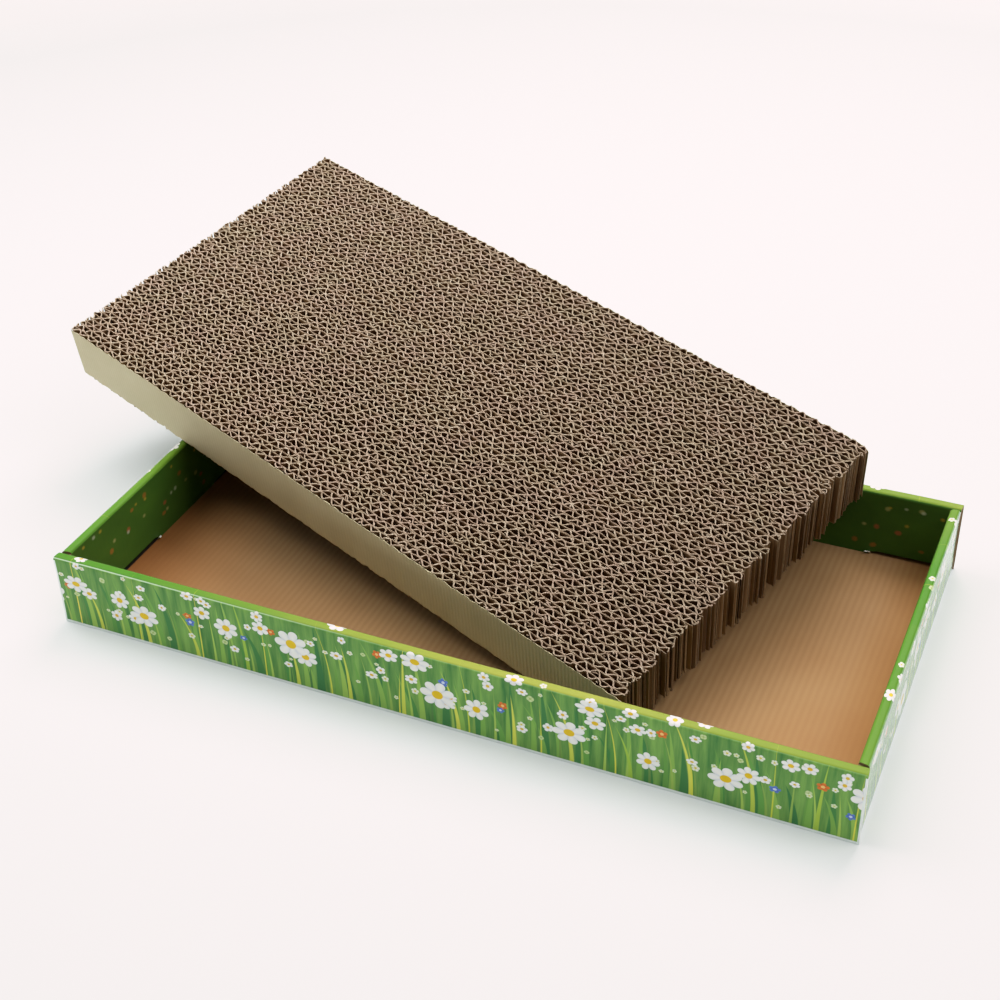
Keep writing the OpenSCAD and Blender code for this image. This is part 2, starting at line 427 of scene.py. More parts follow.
def fluted_line(start, stop, near, far, pitch, seed):
    """The mid-line of a fluted paper between two liners, whose lines are given as functions of x: a sine
    made a little steeper in its flanks, y = sin t (1.15 - 0.15 sin^2 t), whose phase and lean wander. Most
    of its ends are pressed over against the liner that they face."""
    x = with_tips(np.linspace(start, stop, int((stop - start) / pitch * FLUTE_STEPS)))
    draw = np.random.default_rng(seed)
    turn = 2 * math.pi * (x / pitch + draw.uniform())
    turn = turn + 0.7 * ripple(seed, x / 60) + 0.2 * ripple(seed + 1, x / 12)
    wave = np.sin(turn) * (1.15 - 0.15 * np.sin(turn) ** 2)
    lean = 0.45 * ripple(seed + 2, x / 38) + 0.25 * ripple(seed + 5, x / 9)
    x = x + lean * wave * np.clip(np.minimum(x - start, stop - x) / 6, 0, 1)
    for tip, beside, inner, way in ((0, 1, 2, 1), (-1, -2, -3, -1)):
        if draw.uniform() < ENDS_PRESSED:
            wave[tip], wave[beside] = -0.9 * np.sign(wave[inner]), -0.25 * np.sign(wave[inner])
            x[tip], x[beside] = x[tip] + 0.3 * way, x[tip]
    return x, near(x) + (far(x) - near(x)) * (1 + wave) / 2


def with_tips(x):
    """A paper's places along the strip, with one more close to each end, where its cut shows pale."""
    return np.concatenate([x[:1], [x[0] + END_POINT], x[1:-1], [x[-1] - END_POINT], x[-1:]])


def curled(x, y, curls):
    """Bends a paper's last few millimetres sideways at each end, more and more towards its tip."""
    left = np.clip(1 - (x - x[0]) / END_CURL, 0, 1) ** 2
    right = np.clip(1 - (x[-1] - x) / END_CURL, 0, 1) ** 2
    return y + curls[0] * left + curls[1] * right


def pad_warp(points, width):
    """Moves points of the pad along and sideways by a smooth noise, which fades out at its front and back
    faces, so that rows of flutes wander as glued board does and papers never cross. The back right corner
    is pressed in, as the square of the nearness to the right end times that to the back."""
    x, y = points[:, 0], points[:, 1]
    inside = np.clip(np.minimum(y, width - y) / 12, 0, 1)
    ends = np.clip(np.minimum(x - x.min(), x.max() - x) / 15, 0, 1)
    warped = points.copy()
    warped[:, 0] += 0.7 * inside * ends * ripple(71, x / 43, y / 29)
    warped[:, 1] += 0.5 * inside * ripple(72, x / 47, y / 37) + 0.12 * inside * ripple(73, x / 8, y / 11)
    corner = np.clip(1 - (x.max() - x) / 8, 0, 1) ** 2 * np.clip(1 - (width - y) / 12, 0, 1)
    warped[:, 1] -= CORNER_PRESSED * corner
    return warped


def shred(draw, low, high, height):
    """A torn shred of paper that the saw left lying across the cells: a small curved flake."""
    middle = draw.uniform([low[0] + 3, low[1] + 0.8], [high[0] - 3, high[1] - 0.8])
    long, wide = 0.6 + 2.6 * draw.uniform() ** 2, draw.uniform(0.3, 0.8)
    turn = draw.uniform(0, math.pi)
    t, s = np.meshgrid(np.linspace(-0.5, 0.5, 4), [-0.5, 0.5], indexing="ij")
    x = middle[0] + long * t * math.cos(turn) - wide * s * math.sin(turn)
    y = middle[1] + long * t * math.sin(turn) + wide * s * math.cos(turn)
    z = height - 0.06 - draw.uniform(0.2, 1.6) * t ** 2 - draw.uniform(0, 0.8) * (t + 0.5)
    return slab(np.stack([x, y, z], -1), np.stack([x, y, z - 0.14], -1))


def worn_edges(x, seed):
    """How far an outermost liner's top drops below the other papers' and its foot rises above theirs: a
    smooth noise with a few deeper bites, never less than nothing."""
    drop = 0.9 + 0.5 * ripple(seed, x / 9) + 0.8 * np.clip(ripple(seed + 7, x / 21) - 0.5, 0, 1)
    rise = 0.6 + 0.5 * ripple(seed + 8, x / 17) + 2.4 * np.clip(ripple(seed + 9, x / 9) - 0.62, 0, 1)
    return np.clip(drop, 0, None), np.clip(rise, 0, None)


def strip_paper(number, low, high, rag, width):
    """One strip of double-wall board in the pad's own axes: liner, narrow flutes, liner, wide flutes, liner,
    with the shreds on top. Gives its shape and its marks cut, depth and tone, where depth is painted shade
    down in the cells. Side 1 is the pad's smooth front or back."""
    draw = np.random.default_rng(500 + number)
    height = high[2] - low[2]
    first = 2 * number - 2
    middle = low[1] + LINER + NARROW_FLUTE
    places = (low[1] + LINER / 2, middle + LINER / 2, high[1] - LINER / 2)
    liners = [lambda x, k=k: places[k] + liner_shift(first + k, x) for k in range(3)]
    room = (LINER + MEDIUM) / 2
    parts, marks = [], []
    for order, (near, far) in enumerate(PAPERS):
        seed = 1000 * number + 50 * order
        outer = (number == 1 and near == 0 or number == STRIPS and near == 2) and far is None
        start = 0.2 * low[0] + 0.8 * rag + (0.1 if outer else draw.uniform(0, 0.3) + 0.4 * (far is None))
        stop = high[0] - draw.uniform(0, 0.2 if outer else 1.2)
        curls = draw.uniform(-1.2, 1.2, 2) * (0 if outer else (0.4, 1))
        drop = rise = 0.0
        if far is None:
            x = with_tips(np.linspace(start, stop, int((stop - start) / LINER_STEP)))
            y = liners[near](x)
            thickness, burr = LINER, BURR_MIDDLE if near == 1 else BURR_OUTER
        else:
            pitch = NARROW_PITCH if near == 0 else WIDE_PITCH
            x, y = fluted_line(start, stop, lambda x: liners[near](x) + room, lambda x: liners[far](x) - room,
                               pitch, seed)
            thickness, burr = MEDIUM, BURR_PAPER
        if outer:
            drop, rise = worn_edges(x, seed)
            burr = LINER
        part, (cut, depth) = standing_paper(x, curled(x, y, curls), height, thickness, burr, seed, drop, rise)
        if far is None:
            cut = cut * (0 if outer else 0.78)
        parts.append((part[0], part[1], np.full(len(part[1]), int(outer))))
        marks.append((cut, depth, np.full(len(cut), draw.uniform(0, 0.8) + (0.2 if far is None else 0))))
    for _ in range(draw.integers(*SHREDS)):
        part = shred(draw, low, high, height)
        parts.append((part[0], part[1], np.zeros(len(part[1]), int)))
        size = len(part[0])
        marks.append((np.full(size, draw.uniform(0.7, 1.25)), np.zeros(size), np.ones(size)))
    points, quads, sides = joined(parts)
    points = pad_warp(points, width)
    points[:, :2] = np.clip(points[:, :2], (rag, 0), (high[0], width))
    return (points, quads, sides), [np.concatenate(values) for values in zip(*marks)]


def make_pad():
    """The thirty strips, each in place of its node."""
    corner, along, sideways, upright = pad_axes()
    axes = np.stack([along, sideways, upright])
    names = sorted(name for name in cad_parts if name.startswith("pad_strip_"))
    boxes = {}
    for name in names:
        local = (node_points(name) - corner) @ axes.T
        boxes[name] = (local.min(0), local.max(0))
    width = boxes[names[-1]][1][1]
    rag = min(low[0] for low, _ in boxes.values())
    materials = [fluted_kraft(), kraft_liner()]
    for number, name in enumerate(names, 1):
        (points, quads, sides), (cut, depth, tone) = strip_paper(number, *boxes[name], rag, width)
        piece = make_piece(name + "_papers", "pad", "strip_paper", (corner + points @ axes, quads, sides),
                           materials, uv=points[:, [0, 2]], cut=cut, depth=depth, tone=tone)
        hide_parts(name)


make_pad()


# Materials of the tray

# The ledge's tint starts again after this length of the sheet
TINT_RUN = 640

# Painted shade: the floor is greyer, with stronger washboard lines, within this distance of the pad
PAD_SHADE = 80


def follow(tree, values, steps, clamped):
    """Works out named values by steps of arithmetic. Each step gives the name of its result, an operation and
    its operands, which are names or numbers. The clamped results stay within 0 to 1."""
    for result, operation, *operands in steps:
        values[result] = add(tree, "ShaderNodeMath", {
            socket: values.get(operand, operand) for socket, operand in enumerate(operands)
        }, operation=operation, use_clamp=result in clamped)


def motif_row(name, inputs, outputs, spread, steps):
    """A node group for a row of printed motifs along the sheet, one in each stretch of a pitch. A point lies
    at inside = (place - cell - 0.5) Pitch in its stretch, where place = U / Pitch + spread Seed and cell is
    its whole part. Each stretch has four random picks, first, second, Pick and last, and the steps go on
    from all these."""
    tree = bpy.data.node_groups.new(name, "ShaderNodeTree")
    for way, sockets in (("INPUT", ("U", "V", "Pitch", "Seed", "Soft") + inputs), ("OUTPUT", outputs)):
        for socket in sockets:
            tree.interface.new_socket(socket, in_out=way, socket_type="NodeSocketFloat")
    values = dict(add(tree, "NodeGroupInput").outputs.items())
    follow(tree, values, (
        ("shift", "MULTIPLY", "Seed", spread),
        ("place", "DIVIDE", "U", "Pitch"),
        ("place", "ADD", "place", "shift"),
        ("cell", "FLOOR", "place"),
        ("inside", "SUBTRACT", "place", "cell"),
        ("inside", "SUBTRACT", "inside", 0.5),
        ("inside", "MULTIPLY", "inside", "Pitch"),
    ), ())
    seat = add(tree, "ShaderNodeCombineXYZ", {0: values["cell"], 1: values["Seed"]})
    noise = add(tree, "ShaderNodeTexWhiteNoise", {"Vector": seat}, noise_dimensions="2D")
    picks = add(tree, "ShaderNodeSeparateColor", {0: noise.outputs["Color"]}).outputs
    values.update({"first": picks[0], "second": picks[1], "Pick": picks[2], "last": noise})
    follow(tree, values, steps, outputs)
    add(tree, "NodeGroupOutput", {output: values[output] for output in outputs})
    return tree


def blossom_group():
    """A row of flat printed blossoms, each with its own place, size and turn. The petals end at
    size (1 - Notch (1 - |cos(Petals angle / 2 + turn)|^0.55)) from the middle. Gives how far a point lies in
    the petals, in the heart, and across a petal."""
    inputs = ("Radius", "Low", "High", "Petals", "Notch", "Core")
    return motif_row("blossom_row", inputs, ("Petal", "Heart", "Shade"), 0.371, (
        ("room", "MULTIPLY_ADD", "Radius", -2.1, "Pitch"),
        ("stray", "SUBTRACT", "first", 0.5),
        ("stray", "MULTIPLY", "stray", "room"),
        ("across", "SUBTRACT", "inside", "stray"),
        ("span", "SUBTRACT", "High", "Low"),
        ("height", "MULTIPLY_ADD", "second", "span", "Low"),
        ("up", "SUBTRACT", "V", "height"),
        ("flat", "MULTIPLY_ADD", "Pick", 0.35, 0.65),
        ("up", "DIVIDE", "up", "flat"),
        ("size", "MULTIPLY_ADD", "last", 0.3, 0.7),
        ("size", "MULTIPLY", "size", "Radius"),
        ("distance", "MULTIPLY", "across", "across"),
        ("distance", "MULTIPLY_ADD", "up", "up", "distance"),
        ("distance", "SQRT", "distance"),
        ("angle", "ARCTAN2", "up", "across"),
        ("turn", "MULTIPLY", "angle", "Petals"),
        ("turn", "MULTIPLY", "turn", 0.5),
        ("turn", "MULTIPLY_ADD", "first", 3.0, "turn"),
        ("lobe", "COSINE", "turn"),
        ("lobe", "ABSOLUTE", "lobe"),
        ("Shade", "POWER", "lobe", 0.55),
        ("less", "SUBTRACT", 1.0, "Shade"),
        ("less", "MULTIPLY", "less", "Notch"),
        ("reach", "SUBTRACT", 1.0, "less"),
        ("reach", "MULTIPLY", "reach", "size"),
        ("gap", "SUBTRACT", "reach", "distance"),
        ("gap", "DIVIDE", "gap", "Soft"),
        ("Petal", "ADD", "gap", 0.5),
        ("core", "MULTIPLY", "size", "Core"),
        ("gap", "SUBTRACT", "core", "distance"),
        ("gap", "DIVIDE", "gap", "Soft"),
        ("Heart", "ADD", "gap", 0.5),
    ))


def blade_group():
    """A row of grass blades: each stands on the sheet's foot, leans as the square of its height and narrows
    to its tip as Width (1 - rise)^0.7. Gives how far a point lies in its blade, and a pick."""
    return motif_row("blade_row", ("Width", "Tall", "Lean"), ("Blade", "Pick"), 0.537, (
        ("tall", "MULTIPLY_ADD", "first", 0.5, 0.5),
        ("tall", "MULTIPLY", "tall", "Tall"),
        ("rise", "DIVIDE", "V", "tall"),
        ("bend", "MULTIPLY", "rise", "rise"),
        ("lean", "SUBTRACT", "second", 0.8),
        ("lean", "MULTIPLY", "lean", "Lean"),
        ("bend", "MULTIPLY", "bend", "lean"),
        ("away", "SUBTRACT", "inside", "bend"),
        ("away", "ABSOLUTE", "away"),
        ("left", "SUBTRACT", 1.0, "rise"),
        ("left", "MAXIMUM", "left", 0.0),
        ("narrow", "POWER", "left", 0.7),
        ("half", "MULTIPLY", "narrow", "Width"),
        ("gap", "SUBTRACT", "half", "away"),
        ("Blade", "DIVIDE", "gap", "Soft"),
    ))


def grass(tree, u, v, streaks):
    """A green field with rows of grass blades before it. Gives its colour, and how far a point lies in the
    last row."""
    colour = laid_over(tree, "#3C723A", [(share_above(tree, streaks, 0.32, 0.36), 1, "#7DA851")])
    blades = blade_group()

    # Each row's pitch, half width, height, lean, seed, darkest and lightest green
    for pitch, width, tall, lean, seed, dark, light in (
        (17, 2.6, 46, 12, 1, "#3B7340", "#508943"),
        (13, 1.7, 42, 9, 2, "#48853E", "#88B350"),
        (21, 1.9, 52, 16, 3, "#629A46", "#99BD55"),
        (11, 0.9, 38, 8, 4, "#366A3E", "#A9C859"),
        (29, 1.3, 50, 14, 5, "#9BBF46", "#DEDE57"),
        (37, 0.55, 66, 12, 6, "#CED542", "#FFED5E"),
    ):
        blade = add(tree, "ShaderNodeGroup", {
            "U": u, "V": v, "Pitch": pitch, "Seed": seed, "Soft": 0.35,
            "Width": width, "Tall": tall, "Lean": lean
        }, node_tree=blades).outputs
        green = laid_over(tree, dark, [(blade["Pick"], 1, light)])
        colour = laid_over(tree, colour, [(blade["Blade"], 1, green)])
    return colour, blade["Blade"]


def ledge_print(tree, u, v, drift, blade, colour):
    """Stripes over a colour, from a height to a height up the sheet: the ledge between its creases, in
    lighter greens that change along the sheet, and the pale line of cracked ink along its outer crease, with
    a painted highlight that is strongest at the sheet's start and fades along it."""
    place = add(tree, "ShaderNodeMath", {0: u, 1: 1 / TINT_RUN}, operation="MULTIPLY")
    place = add(tree, "ShaderNodeMath", {0: place}, operation="FRACT")
    place = add(tree, "ShaderNodeMath", {0: drift, 1: 0.16, 2: place}, operation="MULTIPLY_ADD")
    tints = add(tree, "ShaderNodeValToRGB", {0: place})
    for spot, tint in (
        (0.16, "#41771B"), (0.27, "#628229"), (0.4, "#859233"), (0.54, "#909838"), (0.67, "#70882A")
    ):
        tints.color_ramp.elements.new(spot).color = linear(tint)
    for end in (0, -1):
        tints.color_ramp.elements[end].color = linear("#4A7A20")
    band = laid_over(tree, tints, [(blade, 0.8, "#B4BE3C")])
    # Painted highlight on the outer crease: strongest at the sheet's start, fading along it
    crease_highlight = add(tree, "ShaderNodeMath", {
        0: share_above(tree, u, 40, 150), 1: -0.75, 2: 0.85
    }, operation="MULTIPLY_ADD")
    for low, high, most, tint in (
        (LEDGE_FROM, LEDGE_TO, 1, band),
        (LEDGE_FROM - 0.4, LEDGE_FROM + 0.1, crease_highlight, "#CDEBC4"),
    ):
        stripe = add(tree, "ShaderNodeMath", {
            0: share_above(tree, v, low, 0.3), 1: share_above(tree, v, high, 0.3)
        }, operation="SUBTRACT")
        colour = laid_over(tree, colour, [(stripe, most, tint)])
    return colour


def blossoms_over(tree, u, v, blossoms, colour):
    """Rows of blossoms over a colour, from the smallest to the largest."""
    white, shaded = "#FBFBF6", "#D6DAE4"

    # Each row's pitch, radius, lowest, highest, seed, petals, notch, petal colour, its shade, heart colour
    for pitch, radius, low, high, seed, petals, notch, petal, shade, heart in (
        (23, 1.9, 6, 44, 20, 4, 0.15, "#C6D79A", "#A9BF7C", "#9DB35E"),
        (11, 1.5, 8, 40, 21, 5, 0.3, "#DDE7C0", "#B9C99A", "#C9C64A"),
        (14, 2.1, 14, 44, 22, 5, 0.3, "#EEF1DC", "#BFCBA8", "#D9C23A"),
        (17, 3.0, 10, 43, 23, 5, 0.35, white, shaded, "#E0B830"),
        (21, 4.0, 12, 46, 24, 6, 0.4, white, shaded, "#E3B42A"),
        (61, 3.1, 24, 36, 25, 5, 0.5, "#E0702F", "#B8431E", "#F0C070"),
        (73, 2.9, 12, 30, 26, 5, 0.5, "#5873C9", "#33499A", "#C9D3F2"),
        (34, 5.6, 14, 47, 27, 6, 0.45, white, shaded, "#E6B820"),
        (47, 8.0, 12, 40, 28, 7, 0.45, white, shaded, "#E9BC1E"),
        (77, 10.4, 13, 30, 29, 7, 0.42, white, shaded, "#E9BC1E"),
    ):
        flower = add(tree, "ShaderNodeGroup", {
            "U": u, "V": v, "Pitch": pitch, "Seed": seed, "Soft": 0.3,
            "Radius": radius, "Low": low, "High": high, "Petals": petals, "Notch": notch, "Core": 0.32
        }, node_tree=blossoms).outputs
        tint = laid_over(tree, shade, [(flower["Shade"], 1, petal), (flower["Heart"], 1, heart)])
        colour = laid_over(tree, colour, [(flower["Petal"], 1, tint)])
    return colour


def rolled_print(tree, u, v, gloom, blossoms):
    """The rolled-in half: deep green, with rows of soft specks."""
    colour = laid_over(tree, "#26471C", [(gloom, 1, "#4D7526")])

    # Each row's pitch, radius, lowest, highest, seed and colour
    for pitch, radius, low, high, seed, speck in (
        (17, 1.9, 52, 82, 41, "#A8662E"),
        (23, 1.6, 50, 80, 42, "#A9A86A"),
        (31, 1.9, 50, 78, 43, "#B0563C"),
        (27, 1.3, 49, 70, 44, "#B9C6A8"),
        (19, 1.1, 49, 66, 45, "#C2A43C"),
    ):
        spot = add(tree, "ShaderNodeGroup", {
            "U": u, "V": v, "Pitch": pitch, "Seed": seed, "Soft": 1.2,
            "Radius": radius, "Low": low, "High": high, "Petals": 6, "Notch": 0.1, "Core": 0
        }, node_tree=blossoms).outputs
        colour = laid_over(tree, colour, [(spot["Petal"], 0.6, speck)])
    return colour


def printed_meadow():
    """Coated paper printed by offset and glued on micro-flute board: a satin varnish over a generic meadow
    of grass blades and simple blossoms. The ledge is printed lighter and the rolled-in half dark."""
    material, tree = new_material("printed_paper_on_microflute")
    sheet = add(tree, "ShaderNodeUVMap", uv_map="sheet")
    u, v, _ = add(tree, "ShaderNodeSeparateXYZ", {0: sheet}).outputs
    streaks, drift, gloom = (
        add(tree, "ShaderNodeTexNoise", {
            "Vector": add(tree, "ShaderNodeMapping", {
                "Vector": sheet, "Rotation": (0, 0, turn), "Scale": scale
            }), "Scale": 1, "Detail": detail, "Roughness": roughness
        })
        for turn, scale, detail, roughness in (
            (0.3, (0.2, 0.018, 1), 4, 0.6), (0, (0.02, 0.06, 1), 2, 0.5), (0, (0.02, 0.03, 1), 3, 0.5)
        )
    )
    blossoms = blossom_group()
    colour, blade = grass(tree, u, v, streaks)
    colour = ledge_print(tree, u, v, drift, blade, colour)
    colour = blossoms_over(tree, u, v, blossoms, colour)
    rolled = rolled_print(tree, u, v, gloom, blossoms)
    colour = laid_over(tree, colour, [(share_above(tree, v, ROLLED_FROM, 0.5), 1, rolled)])

    # The ink stops at the bottom crease and at the cut ends, where the paper's white shows
    trim = add(tree, "ShaderNodeAttribute", attribute_name="trim").outputs["Fac"]
    trimmed = share_above(tree, trim, 0.8, 0.2)
    colour = laid_over(tree, "#F4FCF8", [(share_above(tree, v, 1.6, 0.3), trimmed, colour)])

    # The flutes under the print, and a varnish that shines only where the sheet is seen at a slant
    flutes = add(tree, "ShaderNodeTexWave", {
        "Vector": sheet, "Scale": 1 / MICRO_PITCH / WAVE_TURNS, "Distortion": 0.4
    }, wave_type="BANDS", bands_direction="X").outputs["Fac"]
    bump = add(tree, "ShaderNodeBump", {"Height": flutes, "Strength": 0.05, "Distance": 0.2 * MM})
    glance = add(tree, "ShaderNodeLayerWeight", {"Blend": 0.5}).outputs["Facing"]
    glance = add(tree, "ShaderNodeMath", {0: glance, 1: 10.0}, operation="POWER")
    glance = add(tree, "ShaderNodeMath", {0: glance, 1: 60.0}, operation="MULTIPLY", use_clamp=True)
    return with_shader(material, {
        "Base Color": colour, "Normal": bump, "Roughness": 0.5, "Specular IOR Level": 0.12,
        "Coat Weight": glance, "Coat Roughness": 0.25, "Coat IOR": 3.0
    })


def bare_kraft():
    """Bare kraft liner of micro-flute board: warm orange brown, with a faint washboard of the flutes under
    it, soft clouds and a few dark fibre specks. Painted shade makes it darker and duller towards the left
    end, greyer with stronger washboard lines close to the pad, darker and more orange along the right end
    wall, and near-black where it runs on under the left wall."""
    material, tree = new_material("bare_kraft_liner")
    sheet = add(tree, "ShaderNodeUVMap", uv_map="sheet")
    x = add(tree, "ShaderNodeSeparateXYZ", {0: sheet})
    clouds = add(tree, "ShaderNodeTexNoise", {"Vector": sheet, "Scale": 0.02, "Detail": 4})
    fibres = add(tree, "ShaderNodeTexNoise", {"Vector": sheet, "Scale": 1.1, "Detail": 4, "Roughness": 0.7})
    flutes = add(tree, "ShaderNodeTexWave", {
        "Vector": sheet, "Scale": 1 / MICRO_PITCH / WAVE_TURNS, "Distortion": 0.5, "Detail": 1
    }, wave_type="BANDS", bands_direction="X").outputs["Fac"]
    corner, along_pad, across_pad, _ = pad_axes()
    # Painted shade near the pad: there the floor is greyer and its washboard lines stronger
    pad_shade_shares = []
    for way in (along_pad, -across_pad):
        reach = add(tree, "ShaderNodeVectorMath", {0: sheet, 1: (*way[:2], 0)}, operation="DOT_PRODUCT")
        pad_shade_shares.append(share_above(tree, reach, corner[:2] @ way[:2] + PAD_SHADE, -PAD_SHADE))
    near = add(tree, "ShaderNodeMath", {0: pad_shade_shares[0], 1: pad_shade_shares[1]}, operation="MINIMUM")
    most = add(tree, "ShaderNodeMath", {0: near, 1: 0.2, 2: 0.08}, operation="MULTIPLY_ADD")
    paper = laid_over(tree, "#976539", [
        (clouds, 1, "#A87A4D"),
        (fibres, 0.22, "#784B28"),
        # Painted shade: darker towards the left end
        (share_above(tree, x, -60, -130), 0.4, "#4A2808"),
        # The washboard lines, made stronger near the pad as painted shade
        (flutes, most, "#734824"),
    ])
    for share, factors in (
        # Painted shade: greyer close to the pad
        (near, (0.95, 1.18, 1.44, 1)),
        # Painted shade: darker and more orange along the right end wall
        (share_above(tree, x, 178, 26), (0.87, 0.74, 0.42, 1)),
        # Painted shade: more orange and darker towards the left end
        (share_above(tree, x, -140, -60), (1.0, 0.78, 0.5, 1)),
    ):
        paper = add(tree, "ShaderNodeMix", {0: share, 6: paper, 7: factors}, data_type="RGBA",
                    blend_type="MULTIPLY")
    # Painted shade: near-black where the floor runs on under the left inner wall
    paper = laid_over(tree, "#0E0A06", [(share_above(tree, x, left_inner_high[0] - 0.2, 0.4), 1, paper)])
    bump = add(tree, "ShaderNodeBump", {"Height": fibres, "Strength": 0.12, "Distance": 0.3 * MM})
    return with_shader(material, {
        "Base Color": paper, "Normal": bump, "Roughness": 0.75, "Specular IOR Level": 0.3
    })


def mottled_paper(name, scale, detail, dark, light, roughness):
    """Uncoated paper: dull, with soft clouds between a dark and a light colour."""
    material, tree = new_material(name)
    place = add(tree, "ShaderNodeTexCoord").outputs["Object"]
    clouds = add(tree, "ShaderNodeTexNoise", {"Vector": place, "Scale": scale, "Detail": detail})
    paper = laid_over(tree, dark, [(clouds, 1, light)])
    return with_shader(material, {"Base Color": paper, "Roughness": roughness})


PRINT = printed_meadow()
KRAFT = bare_kraft()
UNDERSIDE = mottled_paper("white_back_of_printed_sheet", 0.06 / MM, 4, "#E4E3DD", "#F6F6F2", 0.7)
EDGE = mottled_paper("cut_edge_of_microflute", 1.4 / MM, 3, "#574432", "#957454", 0.9)


# The tray


# How each side turns, in quarter turns about Z, how far its outer face lies from the tray's middle, where
# its own middle lies along the printed sheet, and the seed of its bows
SIDES = {
    "front": (0, HALF_W, 210, 3),
    "right": (1, HALF_L - END_INSET, 640, 9),
    "back": (2, HALF_W, 1230, 15),
    "left": (3, HALF_L - END_INSET, 1790, 21),
}
LONG_SIDES = ("front", "back")

# How far an outer wall bows in, a rim sags, and an inner wall's foot stands up where a lock tab is torn
WALL_BOW = 0.5
RIM_SAG = 0.25
TORN_RISE = 1.5

# The floor's ripple over the flutes, and its points to each flute
WASHBOARD = 0.03
WASHBOARD_STEPS = 8

# The trim mark of points that lie far from a cut end
UNTRIMMED = 9


def on_side(side, points):
    """Points of a wall, drawn along X with its outer face at Y zero and its inside towards +Y, on a side."""
    quarter, reach = SIDES[side][:2]
    angle = quarter * math.pi / 2
    along = np.array([math.cos(angle), math.sin(angle), 0])
    inward = np.array([-math.sin(angle), math.cos(angle), 0])
    x, y, z = points[..., 0:1], points[..., 1:2], points[..., 2:3]
    return x * along + (y - reach) * inward + z * np.array([0, 0, 1])


def arc(middle, radius, start, stop, steps=7):
    """Points on a circle in the profile's plane, between two angles in degrees."""
    angles = np.radians(np.linspace(start, stop, steps))
    return np.stack([middle[0] + radius * np.cos(angles), middle[1] + radius * np.sin(angles)], -1)


def straight(start, stop, steps):
    """Points on a line, without its first."""
    return np.linspace(start, stop, steps + 1)[1:]


def wall_profile():
    """Outer and cavity faces of an outer wall, from under the floor's edge up to the rim, and the height up
    the unrolled sheet at each point."""
    face = np.concatenate([[(FOLD, 0)], arc((FOOT_ROUND, FOOT_ROUND), FOOT_ROUND, 270, 180, 6),
                           straight((0, FOOT_ROUND), (0, PANEL_TOP), 10)])
    back = np.concatenate([arc((FOLD, FOLD), FOLD - BOARD, 270, 180),
                           straight((BOARD, FOLD), (BOARD, PANEL_TOP), 10)])
    rise = np.concatenate([[-FOLD], np.linspace(0, FOOT_ROUND, 6), straight(FOOT_ROUND, PANEL_TOP, 10)])
    return face, back, rise


def rim_profile(width):
    """Top and cavity faces of a rim: two rounded creases with the flat ledge between them."""
    near, far = (FOLD, PANEL_TOP), (width - FOLD, PANEL_TOP)
    face, back = (
        np.concatenate([arc(near, radius, 180, 90),
                        straight((FOLD, PANEL_TOP + radius), (width - FOLD, PANEL_TOP + radius), 4),
                        arc(far, radius, 90, 0)[1:]])
        for radius in (FOLD, FOLD - BOARD)
    )
    flat = width - 2 * FOLD
    rise = PANEL_TOP + np.concatenate([
        np.linspace(0, CREASE, 7), straight(CREASE, CREASE + flat, 4),
        np.linspace(CREASE + flat, 2 * CREASE + flat, 7)[1:]
    ])
    return face, back, rise


def inner_profile(width, foot):
    """Tray and cavity faces of an inner wall, from the rim down to its foot."""
    steps = 9
    z = np.linspace(PANEL_TOP, foot, steps)
    face = np.stack([np.full(steps, width), z], -1)
    back = np.stack([np.full(steps, width - BOARD), z], -1)
    return face, back, ROLLED_FROM + CREASE / 2 + PANEL_TOP - z


def bow(x, z, seed, depth):
    """How far a wall's middle lies behind its creases: nothing at its top and foot, and a smooth wave
    along it, always inwards."""
    share = np.clip((z - FOLD) / (PANEL_TOP - FOLD), 0, 1)
    return depth * np.sin(share * math.pi) * (0.5 + 0.5 * ripple(seed, x / 170))


def carry(side, profile, xs, seed, depth, sag=0.0, slant=0.0, torn=None):
    """A panel: its profile carried along X at the places xs, bowed inwards by depth, put on its side. Its
    ends are cut back by slant at the inside, and past the place torn its foot stands higher. Also gives
    its places on the printed sheet and, as a mark, how far each point lies from the cut ends."""
    face, back, rise = profile
    grids = []
    for outline in (face, back):
        x = xs[:, None] * (1 - slant / xs.max() * np.clip(outline[:, 0] / END_LEDGE, 0, 1) ** 2)
        y = np.broadcast_to(outline[:, 0], x.shape)
        z = np.broadcast_to(outline[:, 1], x.shape)
        y = y + bow(x, z, seed, depth)
        z = z - sag * np.clip((z - PANEL_TOP) / FOLD, 0, 1) * (0.5 + 0.5 * ripple(seed + 1, x / 90))
        if torn:
            past = np.clip((x / torn - 1) * abs(torn) / 2, 0, 1)
            z = z + TORN_RISE * past * np.clip(1 - (z - BOARD) / 12, 0, 1)
        grids.append(on_side(side, np.stack([x, y, z], -1)))
    sheet = np.stack(np.broadcast_arrays(SIDES[side][2] + xs[:, None], rise), -1).reshape(-1, 2)
    trim = np.repeat(np.minimum(xs - xs.min(), xs.max() - xs), len(rise))
    return slab(*grids), np.concatenate([sheet, sheet]), np.concatenate([trim, trim])


def along(half, step=5):
    """Places along a panel from end to end, with two more close to each end for its trimmed edge."""
    return np.concatenate([[-half, -half + 1.0], np.linspace(-half + 2, half - 2, int(2 * half / step)),
                           [half - 1.0, half]])


def nick(side, x):
    """A flake of the sheet's white paper, torn up where a lock tab's corner goes into its slot. It narrows
    towards its tip and rises as a parabola, t (1.6 - t)."""
    width = LEDGE if side in LONG_SIDES else END_LEDGE
    t, s = np.meshgrid(np.linspace(0, 1, 4), np.linspace(-0.5, 0.5, 3), indexing="ij")
    flake = np.stack([
        x + 2.8 * s * (1 - 0.5 * t) + 1.6 * t, width + 0.1 + 2.4 * t, BOARD + 0.5 + 3.2 * t * (1.6 - t)
    ], -1)
    points, quads, sides = slab(on_side(side, flake), on_side(side, flake + [0, 0.12, -0.12]))
    return points, quads, np.full(len(sides), 3)


